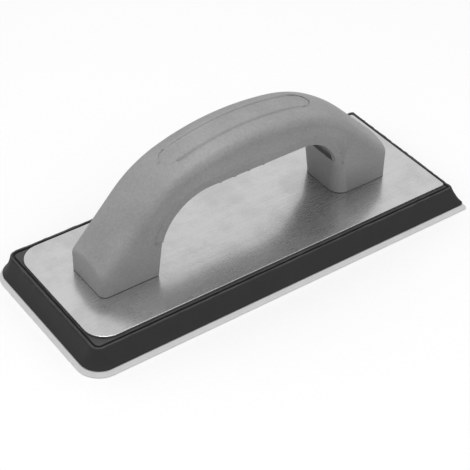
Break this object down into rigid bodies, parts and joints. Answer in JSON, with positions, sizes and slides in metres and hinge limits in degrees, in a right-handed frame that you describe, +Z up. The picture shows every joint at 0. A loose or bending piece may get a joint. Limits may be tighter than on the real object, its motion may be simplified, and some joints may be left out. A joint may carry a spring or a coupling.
{
  "type": "rubber grout float",
  "caption": "Hand float with a closed D-shaped hollow handle on a metal plate over a flared black pad and a pale rubber face.",
  "frame": {"origin": "middle of the rubber face's underside, on the ground", "axes": "+X along the float towards its square-cornered end, +Y across it, +Z up through the handle"},
  "size_m": [0.24, 0.1, 0.0795],
  "materials": {
    "handle_plastic": "fine-textured moulded plastic",
    "plate_metal": "satin rolled sheet",
    "adhesive": "dried contact adhesive",
    "pad_rubber": "dense closed-cell rubber with a moulded skin",
    "face_rubber": "smooth gum rubber sheet",
    "screw_steel": "zinc-plated steel"
  },
  "bodies": {
    "root": {"handle": "handle_plastic", "backing_plate": "plate_metal", "plate_adhesive": "adhesive", "foam_pad": "pad_rubber", "face_adhesive": "adhesive", "rubber_face": "face_rubber", "screw_left_outer": "screw_steel", "screw_left_inner": "screw_steel", "screw_right_outer": "screw_steel", "screw_right_inner": "screw_steel"}
  },
  "joints": []
}
